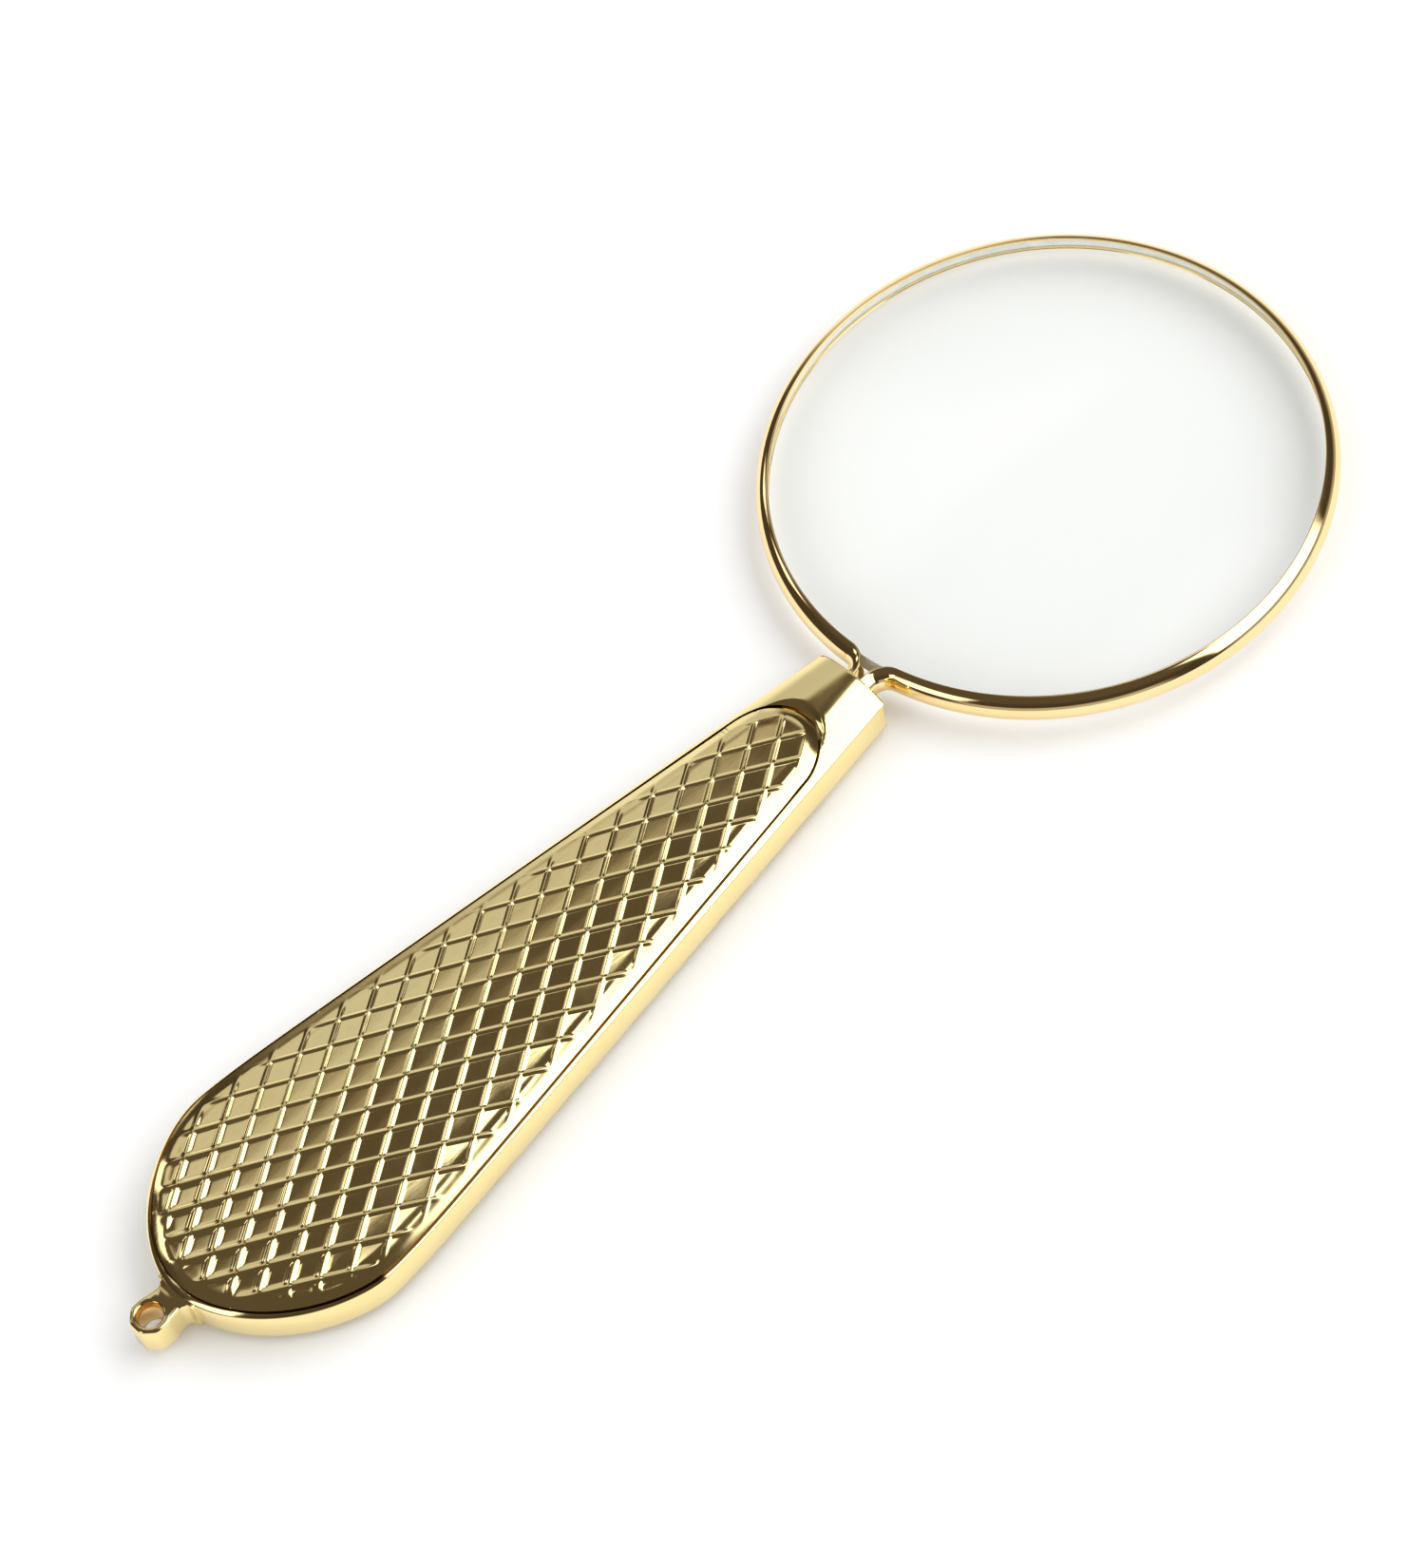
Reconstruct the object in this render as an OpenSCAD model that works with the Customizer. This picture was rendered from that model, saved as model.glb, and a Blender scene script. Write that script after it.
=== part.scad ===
// Hand magnifier: a biconvex lens in a split channel ring, on a flat flared
// handle made of two embossed shells, with a small eye at its tail.
// Millimetres. The origin is the centre of the tail eye's hole, on the
// handle's mid-plane; +Y runs up the handle to the lens, +Z out of the front.

/* [Lens] */
// Diameter of the glass
lens_d = 61.4; // [50:0.1:70]
// Thickness of the glass at its edge
lens_edge = 2.4; // [1.6:0.1:2.4]
// Radius of curvature of both faces
lens_r = 230; // [180:5:400]

/* [Ring] */
// Width of the ring's half-round wire, seen from the front
wire_d = 1.55; // [1.4:0.05:1.8]
// Height of the wire along the lens axis
wire_h = 3.6; // [3.4:0.1:3.8]
// Sideways lean of the ring from the handle's centre line, in degrees
ring_lean = 7; // [-9:0.5:9]
// Clear gap between the ring's two ends
split_gap = 1.0; // [0.8:0.1:1.6]

/* [Handle] */
// Length from the neck's mouth to the tail
handle_len = 97.8; // [85:0.1:120]
// Width of the neck at its mouth
neck_w = 9.7; // [9.4:0.1:12]
// Flare of each flank, in degrees
flare = 7.6; // [5.5:0.1:8]
// Greatest width at the tail
tail_w = 30.9; // [28:0.1:34]
// Length of the rounded tail below the greatest width
tail_len = 17.3; // [14:0.1:20]
// Height of the side wall on each side of the mid-plane
wall_z = 1.85; // [1.7:0.05:2]
// Height of the rim above the mid-plane, where the panel starts
rim_z = 2.6; // [2.5:0.05:2.8]
// Height of the panel's crown above the mid-plane
crown_z = 3.35; // [3.1:0.05:3.6]

/* [Embossing] */
// Length of one diamond along the handle
diamond_l = 5.42; // [4.5:0.01:7]
// Width of one diamond across the handle
diamond_w = 3.51; // [3:0.01:5]
// Width of the raised ridges between the diamonds
ridge_w = 0.6; // [0.4:0.05:0.9]
// Depth of the diamonds below the ridges
diamond_depth = 0.25; // [0.15:0.05:0.35]

/* [Tail eye] */
// Diameter of the eye's hole
eye_hole = 2.8; // [2:0.1:3]
// Outer diameter of the eye
eye_d = 4.3; // [4:0.1:5]
// Thickness of the eye
eye_t = 4.0; // [3.4:0.1:4.4]

/* [Hidden] */
$fn = 96;
fine_fn = 200;      // facets of the large curved faces
slice = 0.01;       // thickness of the slices hulled into the bevel
cut = 1;            // how far a cut runs past the face it opens
fit = 0.05;         // clearance around the sleeve, wire and tang

// stations along the handle
eye_to_tail = 3.3;                  // eye centre to the tail's edge
mouth_y = eye_to_tail + handle_len; // neck's mouth
tail_y = eye_to_tail + tail_len;    // greatest width

// handle outline
mouth_round = 0.7;  // radius of the mouth's corners
tail_power = 1.8;   // superellipse exponent of the rounded tail
blend_power = 40;   // sharpness of the corner from flank to tail
rim_inset = 0.9;    // bevel's run in from the outline
neck_dome_r = 9.5;
neck_dome_l = 13;

// panel
panel_top = mouth_y - 7.1;
panel_end_l = 5.5;                  // length of the panel's rounded top end
panel_end_y = panel_top - panel_end_l;
panel_side_inset = 0.5;
panel_tail_inset = 0.95;
panel_dome_r = 112;
ridge_inset = 0.9;                  // panel's edge to the ridges
diamond_inset = 1.6;                // panel's edge to the diamonds
ridge_base_z = 1.5;
first_row_y = mouth_y - 11.06;

// hollow inside the shells
shell_wall = 1.3;
cavity_top = mouth_y - 12.9;

// dowels
dowel_d = 2;
dowel_l = 5;
ring_dowel_y = mouth_y - 8.5;
middle_dowel_y = 52;
tail_dowel_y = 8.6;
dowel_y = [ring_dowel_y, middle_dowel_y, tail_dowel_y];
boss_d = 4.6;
boss_top = wall_z + 0.05;

// tang and shank of the tail eye
tang_w = 4;
tang_t = 1.2;
tang_end = 11.2;
shank_w = 3.7;
pocket_z = tang_t / 2 + fit;

// ring and its wire
ring_d = lens_d + 2.3;              // outside of the ring
wire_r = ring_d / 2 - wire_d / 2;   // ring centre to the middle of the wire
ring_offset = ring_d / 2 + 2;       // mouth to ring centre
ring_c = [-ring_offset * sin(ring_lean), mouth_y + ring_offset * cos(ring_lean)];
arc_r = (wire_h * wire_h / 4 + wire_d * wire_d) / (2 * wire_d); // wire's round face
bend_r = 2.1;                       // bends between the ring and its straight ends
bend_overlap = 6;                   // degrees a bend runs on at each end
end_x = split_gap / 2 + wire_d / 2; // middle of a straight end

// sleeve around the ring's ends
sleeve_w = 2 * (split_gap / 2 + wire_d) + 1.5;
sleeve_t = wire_h + 0.7;
sleeve_l = 12;
sleeve_y = mouth_y - 0.8 - sleeve_l; // lower end of the sleeve and the wire

// half-width of the handle at height y, drawn in by inset on every side
function flank(y, inset) = neck_w / 2 - inset + (mouth_y - y) * tan(flare);
function round_tail(y, inset) = y >= tail_y
    ? tail_w / 2 - inset
    : (tail_w / 2 - inset)
        * pow(max(0, 1 - pow((tail_y - y) / (tail_len - inset), tail_power)), 1 / tail_power);
// a smooth minimum of the two
function half_w(y, inset = 0) =
    pow(pow(flank(y, inset), -blend_power)
        + pow(max(0.02, round_tail(y, inset)), -blend_power), -1 / blend_power);

// +X side of an outline: from top_y down to the greatest width, then to the tail
function flank_pts(top_y, inset, n) =
    [for (i = [0:n]) let (y = top_y + (tail_y - top_y) * i / n) [half_w(y, inset), y]];
function tail_pts(inset, n) =
    [for (i = [1:n]) let (y = tail_y - (tail_len - inset) * sin(90 * i / n))
        [i == n ? 0 : half_w(y, inset), y]];

// polygon from its +X side, listed from top to tail, and that side's mirror image
module symmetric(side) {
    mirrored = [for (i = [len(side) - 1:-1:0]) if (side[i][0] > 0.001) [-side[i][0], side[i][1]]];
    polygon(concat(side, mirrored));
}

// the handle's outline, with its mouth corners rounded
module outline(inset = 0) {
    corner_x = half_w(mouth_y - mouth_round, inset) - mouth_round;
    corner_y = mouth_y - inset - mouth_round;
    symmetric(concat(
        [[0, mouth_y - inset]],
        [for (a = [80:-20:20]) [corner_x + mouth_round * cos(a), corner_y + mouth_round * sin(a)]],
        flank_pts(corner_y, inset, 14),
        tail_pts(inset, 16)));
}

// half-width of the panel; its inset from the outline is least 4 above tail_y
function panel_half_w(y) =
    half_w(y) - panel_side_inset - 0.5 * pow(min(1, abs(y - tail_y - 4) / 30), 1.5);

// the panel's outline, drawn in by inset
module panel(inset = 0) {
    tail_l = tail_len - panel_tail_inset;
    inset_growth = panel_tail_inset - panel_side_inset;
    symmetric(concat(
        [[0, panel_top - inset]],
        [for (a = [75:-15:0]) let (y = panel_end_y + (panel_end_l - inset) * sin(a))
            [(panel_half_w(y) - inset) * cos(a), y]],
        [for (i = [1:14]) let (y = panel_end_y + (tail_y - panel_end_y) * i / 14)
            [panel_half_w(y) - inset, y]],
        [for (i = [1:15]) let (y = tail_y - (tail_l - inset) * sin(90 * i / 16))
            [half_w(y, panel_side_inset + inset_growth * i / 16 + inset), y]],
        [[0, tail_y - tail_l + inset]]));
}

// plan of the hollow inside a shell
module cavity() {
    symmetric(concat(
        [[0, cavity_top]],
        flank_pts(cavity_top, shell_wall, 12),
        tail_pts(shell_wall, 14)));
}

// a long round-topped bar along the handle, with its crown at height top_z
module dome(top_z, radius) {
    translate([0, mouth_y / 2, top_z - radius]) rotate([90, 0, 0])
        cylinder(r = radius, h = 2 * mouth_y, center = true, $fn = fine_fn);
}

// diamonds of the embossing, in staggered rows along the handle
module diamonds() {
    columns = ceil(tail_w / diamond_w);
    rows = ceil(handle_len / diamond_l);
    // half a ridge, measured across the handle
    ridge_x = ridge_w / 2 / cos(atan(diamond_w / diamond_l));
    half_x = diamond_w / 2 - ridge_x;
    half_y = half_x * diamond_l / diamond_w;
    for (j = [-1:2 * rows], i = [-columns:columns])
        if (abs(i + j) % 2 == 0)
            translate([i * diamond_w / 2, first_row_y - (j + 1) * diamond_l / 2])
                polygon([[half_x, 0], [0, half_y], [-half_x, 0], [0, -half_y]]);
}

module ridge_plan() {
    difference() {
        panel(ridge_inset);
        intersection() {
            diamonds();
            panel(diamond_inset);
        }
    }
}

// outside of one shell, before it is hollowed
module shell_body() {
    // side wall
    linear_extrude(wall_z) outline();
    // rim bevel
    hull() {
        translate([0, 0, wall_z - slice]) linear_extrude(slice) outline();
        translate([0, 0, rim_z - slice]) linear_extrude(slice) outline(rim_inset);
    }
    // round top of the neck
    intersection() {
        linear_extrude(crown_z + 1) outline(rim_inset);
        translate([-20, mouth_y - neck_dome_l, 0]) cube([40, 20, 5]);
        dome(crown_z, neck_dome_r);
    }
    // panel, and the ridges on it
    intersection() {
        linear_extrude(crown_z + 1) panel();
        dome(crown_z - diamond_depth, panel_dome_r);
    }
    intersection() {
        translate([0, 0, ridge_base_z]) linear_extrude(crown_z) ridge_plan();
        dome(crown_z, panel_dome_r);
    }
}

module hollow_shell() {
    socket_w = sleeve_w + 2 * fit;
    pocket_w = tang_w + 0.2;
    difference() {
        union() shell_body();
        translate([0, 0, -cut]) linear_extrude(cut + wall_z) cavity();
        // the sleeve's socket, up through the neck
        translate([-socket_w / 2, cavity_top - 1, -cut])
            cube([socket_w, 20, cut + sleeve_t / 2 + fit]);
        // pocket for the eye's tang
        translate([-pocket_w / 2, -cut, -cut])
            cube([pocket_w, cut + tang_end + 0.2, cut + pocket_z]);
    }
}

// one shell, lying on the mid-plane with its face up
module shell() {
    difference() {
        union() {
            hollow_shell();
            // bosses for the dowels: [y, underside z]
            for (boss = [[middle_dowel_y, 0.05], [tail_dowel_y, pocket_z]])
                translate([0, boss[0], boss[1]]) cylinder(d = boss_d, h = boss_top - boss[1]);
        }
        for (y = dowel_y)
            translate([0, y, -cut]) cylinder(d = dowel_d + 0.04, h = cut + dowel_l / 2 + 0.1);
    }
}

// clearance hole for the dowel at y, reaching depth to each side of the mid-plane
module dowel_bore(y, depth) {
    translate([0, y, -depth]) cylinder(d = dowel_d + 0.1, h = 2 * depth);
}

// section of the wire: flat face at flat_x, bulging towards side (+1 or -1)
module half_round(flat_x, side, grow = 0) {
    intersection() {
        translate([flat_x + side * (wire_d - arc_r), 0]) circle(r = arc_r + grow);
        translate([side > 0 ? flat_x - grow : flat_x - wire_d - 1, -wire_h])
            square([wire_d + 1 + grow, 2 * wire_h]);
    }
}

// the same section, grooved on its flat side for the glass
module channel() {
    groove_x = wire_r - wire_d;
    groove_h = lens_edge + 0.24;
    difference() {
        half_round(wire_r - wire_d / 2, 1);
        translate([groove_x, -groove_h / 2]) square([lens_d / 2 + 0.1 - groove_x, groove_h]);
    }
}

// grooved section of a bend, slightly slimmer than the wire
module bend_section() {
    flat_x = bend_r + wire_d / 2;
    groove_h = lens_edge + 0.32;
    difference() {
        half_round(flat_x - 0.03, -1, -0.04);
        translate([flat_x - 0.62, -groove_h / 2]) square([2, groove_h]);
    }
}

// centre of the bend on one side, and the angle where the wire leaves the circle
function bend_centre(side) =
    let (x = side * (end_x + bend_r), dx = x - ring_c[0])
    [x, ring_c[1] - sqrt(pow(wire_r + bend_r, 2) - dx * dx)];
function leave_angle(side) = let (d = bend_centre(side) - ring_c) atan2(d[1], d[0]);

// a bend out of the circle, then a straight end down the neck
module ring_end(side) {
    centre = bend_centre(side);
    start = side > 0 ? leave_angle(1) + 180 : 0;
    sweep = side > 0 ? -leave_angle(1) : leave_angle(-1) + 180;
    translate([centre[0], centre[1], 0]) rotate([0, 0, start - bend_overlap])
        rotate_extrude(angle = sweep + 2 * bend_overlap) bend_section();
    translate([0, centre[1], 0]) rotate([90, 0, 0])
        linear_extrude(centre[1] - sleeve_y) half_round(side * split_gap / 2, side);
}

module lens() {
    sagitta = lens_r - sqrt(lens_r * lens_r - lens_d * lens_d / 4);
    sphere_z = lens_r - lens_edge / 2 - sagitta;
    color([0.86, 0.95, 0.92, 0.5]) translate([ring_c[0], ring_c[1], 0]) intersection() {
        translate([0, 0, -sphere_z]) sphere(r = lens_r, $fn = fine_fn);
        translate([0, 0, sphere_z]) sphere(r = lens_r, $fn = fine_fn);
        cylinder(d = lens_d, h = 20, center = true, $fn = fine_fn);
    }
}

module lens_ring() {
    color([0.93, 0.8, 0.45]) {
        translate([ring_c[0], ring_c[1], 0]) rotate([0, 0, leave_angle(1)])
            rotate_extrude(angle = 360 + leave_angle(-1) - leave_angle(1)) channel();
        difference() {
            for (side = [-1, 1]) ring_end(side);
            // half-round notches that the uppermost dowel locks into
            dowel_bore(ring_dowel_y, 3);
        }
    }
}

module ring_sleeve() {
    color([0.72, 0.56, 0.3]) difference() {
        translate([-sleeve_w / 2, sleeve_y, -sleeve_t / 2]) cube([sleeve_w, sleeve_l, sleeve_t]);
        for (side = [-1, 1])
            translate([0, sleeve_y + sleeve_l + cut, 0]) rotate([90, 0, 0])
                linear_extrude(sleeve_l + 2 * cut) half_round(side * split_gap / 2, side, fit);
        dowel_bore(ring_dowel_y, 3);
    }
}

module handle_front() {
    color([0.9, 0.78, 0.42]) shell();
}

module handle_back() {
    color([0.82, 0.69, 0.36]) mirror([0, 0, 1]) shell();
}

module tail_eye() {
    tang_y = eye_to_tail - 1;
    color([0.88, 0.72, 0.38]) difference() {
        union() {
            // eight-sided eye, its corners trimmed round
            intersection() {
                translate([0, 0, -eye_t / 2]) rotate([0, 0, 22.5])
                    cylinder(d = eye_d / cos(22.5), h = eye_t, $fn = 8);
                cylinder(d = eye_d + 0.2, h = eye_t, center = true);
            }
            // shank up to the tail, and the tang between the shells
            translate([-shank_w / 2, 0, -eye_t / 2]) cube([shank_w, eye_to_tail - 0.05, eye_t]);
            translate([-tang_w / 2, tang_y, -tang_t / 2]) cube([tang_w, tang_end - tang_y, tang_t]);
        }
        translate([0, 0, -eye_t]) cylinder(d = eye_hole, h = 2 * eye_t);
        dowel_bore(tail_dowel_y, 2);
    }
}

module shell_dowels() {
    color([0.75, 0.75, 0.78]) for (y = dowel_y)
        translate([0, y, -dowel_l / 2]) cylinder(d = dowel_d, h = dowel_l);
}

lens();
lens_ring();
ring_sleeve();
handle_front();
handle_back();
tail_eye();
shell_dowels();
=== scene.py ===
"""A magnifying glass: a lens in a grooved wire ring, held by a hollow gilt handle of two shells.

It lies flat. The handle's mid-plane is z = 0, with the front shell above it and the back shell
below. The centre line runs along Y: the tail eye is round the origin, the widest part of the
handle is near its tail, and the ring is beyond the neck's mouth, towards +Y.
Lengths are in millimetres and are turned into metres as vertices are made.
"""

import math

import bmesh
import bpy
import numpy as np
from mathutils import Matrix, Vector
from mathutils.geometry import delaunay_2d_cdt


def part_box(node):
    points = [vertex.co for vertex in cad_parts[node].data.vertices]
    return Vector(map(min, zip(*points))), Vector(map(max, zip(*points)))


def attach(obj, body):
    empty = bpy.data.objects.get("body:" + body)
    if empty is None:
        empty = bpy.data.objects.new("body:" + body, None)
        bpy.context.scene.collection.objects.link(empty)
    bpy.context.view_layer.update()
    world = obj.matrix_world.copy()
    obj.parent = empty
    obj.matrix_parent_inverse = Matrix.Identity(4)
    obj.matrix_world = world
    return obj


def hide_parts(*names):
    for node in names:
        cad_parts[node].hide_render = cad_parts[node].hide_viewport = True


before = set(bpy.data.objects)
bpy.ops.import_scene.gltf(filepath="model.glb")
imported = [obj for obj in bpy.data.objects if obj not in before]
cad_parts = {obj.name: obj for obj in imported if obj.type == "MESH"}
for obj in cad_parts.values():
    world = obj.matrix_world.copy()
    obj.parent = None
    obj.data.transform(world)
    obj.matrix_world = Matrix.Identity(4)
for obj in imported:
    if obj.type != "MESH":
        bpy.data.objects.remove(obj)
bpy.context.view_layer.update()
scene = bpy.context.scene

MM = 0.001


# ---------------------------------------------------------------- sizes
def box_mm(node):
    return [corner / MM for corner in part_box(node)]


shell_low, shell_high = box_mm("handle_front")
ring_low, ring_high = box_mm("lens_ring")
lens_low, lens_high = box_mm("lens")
eye_high = box_mm("tail_eye")[1]
sleeve_low, sleeve_high = box_mm("ring_sleeve")

MOUTH = shell_high.y                     # plane of the neck's mouth
TAIL = shell_low.y                       # end of the tail
NECK_WIDTH = 9.7
FLARE = math.radians(7.6)                # slope of each flank
TAIL_WIDTH, TAIL_LENGTH = 30.9, 17.3
TAIL_POWER = 1.8                         # exponent of the tail's superellipse
FLANK_BLEND = 40.0                       # higher gives a sharper turn from flank to tail
WIDEST = TAIL + TAIL_LENGTH              # station of the greatest width
CORNER_R = 0.7                           # round of the mouth's corners in plan

# heights above the mid-plane
WALL_Z, RIM_Z, CROWN_Z = 1.85, 2.5, shell_high.z

PANEL_TOP = MOUTH - 7.1
PANEL_END = 5.5                          # length of the panel's rounded end
LIP_GAP = 0.3                            # width of the groove round the panel

SHELL_WALL = 1.3
SOCKET_X, SOCKET_Z = sleeve_high.x + 0.05, sleeve_high.z + 0.05
SOCKET_END = MOUTH - 12.9

# diamond pattern: size of a cell, and the station of one crossing of the ridges
CELL_L, CELL_W, NODE_Y = 5.4135, 3.5065, MOUTH - 11.06
HALF_PITCH = CELL_L * CELL_W / 4 / math.hypot(CELL_L / 2, CELL_W / 2)

RING_C = Vector(((lens_low.x + lens_high.x) / 2, (lens_low.y + lens_high.y) / 2))
LENS_R = (lens_high.x - lens_low.x) / 2
WIRE_D, WIRE_H = 1.55, ring_high.z - ring_low.z
WIRE_R = ring_high.y - RING_C.y - WIRE_D / 2  # from the ring's centre to the wire's middle
SPLIT = 1.0                              # gap between the wire's two ends
BEND_R = 2.1                             # bends from the ring into its straight ends
GROOVE_Z = 1.48                          # half the height of the groove for the glass

FULL_SHADE = 4.0                               # painted-shade value for the deepest grooves and the eye's bore, enough for the full painted colour


# ---------------------------------------------------------------- plan shapes
def plan_points(x, y):
    return np.stack([x, y], -1)


def half_width(y, inset=0.0):
    """Half the handle's width at the station y, drawn in by inset."""
    y = np.asarray(y, float)
    flank = NECK_WIDTH / 2 - inset + (MOUTH - y) * math.tan(FLARE)
    reach = np.clip((WIDEST - y) / (TAIL_LENGTH - inset), 0, 1)
    tail = (TAIL_WIDTH / 2 - inset) * np.clip(1 - reach ** TAIL_POWER, 0, 1) ** (1 / TAIL_POWER)
    tail = np.maximum(tail, 0.02)
    flank = np.maximum(flank, 0.5)
    return (flank ** -FLANK_BLEND + tail ** -FLANK_BLEND) ** (-1 / FLANK_BLEND)


def side_curve(top, step, n_tail, inset=0.0):
    """Right-hand (+X) outline from the station top down to the tail's end."""
    flank_y = np.linspace(top, WIDEST, int((top - WIDEST) / step), endpoint=False)
    tail_y = WIDEST - (TAIL_LENGTH - inset) * np.sin(np.linspace(0, math.pi / 2, n_tail))
    y = np.concatenate([flank_y, tail_y])
    x = half_width(y, inset)
    x[-1] = 0.0
    return plan_points(x, y)


def both_sides(right):
    left = right[::-1][1:] * [-1, 1]
    return np.concatenate([right, left])


def closed(loop):
    return np.concatenate([loop, loop[:1]])


def panel_half(y):
    """Half the panel's width above the tail."""
    return half_width(y) - (0.5 + 0.5 * (np.abs(y - WIDEST - 4) / 62) ** 1.5)


def panel_outline():
    angle = np.linspace(math.pi / 2, 0, 40)[:-1]
    end_y = PANEL_TOP - PANEL_END + PANEL_END * np.sin(angle)
    end_x = panel_half(end_y) * np.cos(angle) ** 0.9
    flank_y = np.linspace(PANEL_TOP - PANEL_END, WIDEST, 140, endpoint=False)
    along = np.linspace(0, 1, 90)
    inset = 0.52 + 0.43 * along
    tail_y = WIDEST - (TAIL_LENGTH - 0.95) * np.sin(along * math.pi / 2)
    tail_x = np.array([float(half_width(y, margin)) for y, margin in zip(tail_y, inset)])
    tail_x[-1] = 0.0
    return both_sides(np.concatenate([
        plan_points(end_x, end_y),
        plan_points(panel_half(flank_y), flank_y),
        plan_points(tail_x, tail_y),
    ]))


def nearest_on(points, line, chunk=4000):
    """Distance from each point to a polyline, the nearest point on it and its segment."""
    start, span = line[:-1], line[1:] - line[:-1]
    span_sq = (span * span).sum(1) + 1e-18
    gap = np.empty(len(points))
    near = np.empty((len(points), 2))
    segment = np.empty(len(points), int)
    for i in range(0, len(points), chunk):
        part = points[i : i + chunk, None, :]
        along = ((part - start[None]) * span[None]).sum(2) / span_sq[None]
        foot = start[None] + np.clip(along, 0, 1)[..., None] * span[None]
        gap_sq = ((part - foot) ** 2).sum(2)
        best = gap_sq.argmin(1)
        rows = np.arange(len(best))
        gap[i : i + chunk] = np.sqrt(gap_sq[rows, best])
        near[i : i + chunk] = foot[rows, best]
        segment[i : i + chunk] = best
    return gap, near, segment


def distance(points, line):
    return nearest_on(points, line)[0]


def inside(points, polygon):
    """Even-odd test of points in a closed polygon."""
    x, y = points[:, 0][:, None], points[:, 1][:, None]
    x0, y0 = polygon[None, :, 0], polygon[None, :, 1]
    following = np.roll(polygon, -1, 0)
    x1, y1 = following[None, :, 0], following[None, :, 1]
    cross = ((y0 > y) != (y1 > y)) & (x < (x1 - x0) * (y - y0) / (y1 - y0 + 1e-18) + x0)
    return (cross.sum(1) % 2) == 1


def offset_loop(loop, outward):
    """A clockwise closed loop moved outwards."""
    along = np.roll(loop, -1, 0) - np.roll(loop, 1, 0)
    along /= np.linalg.norm(along, axis=1, keepdims=True) + 1e-12
    return loop + plan_points(-along[:, 1], along[:, 0]) * outward


def thin(points, cell):
    """The points left when only the first in each small square is kept."""
    seen, keep = set(), []
    for i, (x, y) in enumerate(points):
        key = (round(x / cell), round(y / cell))
        if key not in seen:
            seen.add(key)
            keep.append(i)
    return points[keep]


def smoothstep(low, high, value):
    part = np.clip((value - low) / (high - low), 0, 1)
    return part * part * (3 - 2 * part)


# the flanks and tail, carried past the mouth so that the rim's height runs straight through it
FULL_SIDE = side_curve(top=MOUTH - CORNER_R, step=0.4, n_tail=110)
BEYOND = [[float(half_width(MOUTH + 4)), MOUTH + 4]]
SIDES = both_sides(np.concatenate([BEYOND, FULL_SIDE]))
PANEL = panel_outline()
PANEL_LOOP = closed(PANEL)


# ---------------------------------------------------------------- heights above the mid-plane
def tail_drop(y):
    return np.clip((WIDEST + 5.4 - y) / (TAIL_LENGTH + 5.4), 0, 1) ** 2


def rim_rise(gap):
    """Rise of the shell above its wall, at a distance in from its edge."""
    short = np.clip(1 - gap / 4.85, 0, 1)
    return (CROWN_Z - WALL_Z) * np.maximum(1 - short * short, 0) ** 0.75


def ledge_z(y):
    """Height of the trough beside the panel."""
    return RIM_Z - 0.05 - 0.2 * tail_drop(y) + 0.4 * smoothstep(PANEL_TOP - 9, PANEL_TOP - 2, y)


def body_z(points):
    y = points[:, 1]
    ledge = ledge_z(y)
    leave = smoothstep(0.1, 2.1, distance(points, PANEL_LOOP))
    trough = ledge + (CROWN_Z + 0.3 - ledge) * leave
    rim = WALL_Z + rim_rise(distance(points, SIDES))
    # the lower of the two, with a soft join
    soft = 0.05
    part = np.clip(0.5 + 0.5 * (trough - rim) / soft, 0, 1)
    z = trough + (rim - trough) * part - soft * part * (1 - part)
    # round over at the mouth
    radius = 0.3
    inward = np.clip(radius - (MOUTH - y), 0, radius)
    return z - (radius - np.sqrt(radius * radius - inward * inward))


def emboss(x, y):
    """Depth below the ridges, and 0 to 1 from ridge to floor, for the diamond pattern; the second sets
    a faint painted shade in the floors.
    """
    across, along = x / CELL_W, (NODE_Y - y) / CELL_L
    # distance to the nearest ridge of each slant
    near_p, near_q = (
        np.abs(value - np.round(value)) * 2 * HALF_PITCH for value in (across + along, along - across)
    )
    bold = smoothstep(WIDEST + 6, TAIL + 4, y)
    edge = 0.33 + 0.33 * bold
    flank = smoothstep(0.03, edge, near_p) * smoothstep(0.03, edge, near_q)
    dish_p, dish_q = (1 - (1 - near / HALF_PITCH) ** 2 for near in (near_p, near_q))
    bead = np.exp(-(near_p * near_p + near_q * near_q) / 0.05)
    dish = 0.02 * dish_p * dish_q + 0.005 * (dish_p + dish_q)
    return (0.1 + 0.09 * bold) * flank + dish - 0.03 * bead, flank * dish_p * dish_q


# height of the panel's edge at each point of its outline
PANEL_FOOT = np.minimum(
    WALL_Z + rim_rise(distance(PANEL_LOOP, SIDES)), ledge_z(PANEL_LOOP[:, 1])
) - 0.07


def panel_z(points):
    """Height of the panel, and how much painted shade its cells' floors get."""
    gap, _, segment = nearest_on(points, PANEL_LOOP)
    x, y = points[:, 0], points[:, 1]
    half = np.maximum(half_width(np.maximum(y, WIDEST)) - 0.8, 1)
    sag = 0.46 + 0.38 * np.clip((half - 5) / 9.5, 0, 1)
    across_sq = (x / half) ** 2
    crown = CROWN_Z - sag * (0.75 * across_sq + 0.25 * across_sq ** 3) - 0.8 * tail_drop(y)
    edge = np.clip(1 - gap / 2.0, 0, 1) ** 2.2
    depth, hollow = emboss(x, y)
    fade = smoothstep(0.7, 2.4, gap)
    z = crown * (1 - edge) + PANEL_FOOT[segment] * edge
    return np.minimum(z - depth * fade, CROWN_Z - 0.002), hollow * fade


# ---------------------------------------------------------------- mesh helpers
def link_object(name, data):
    obj = bpy.data.objects.new(name, data)
    scene.collection.objects.link(obj)
    return obj


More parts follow.
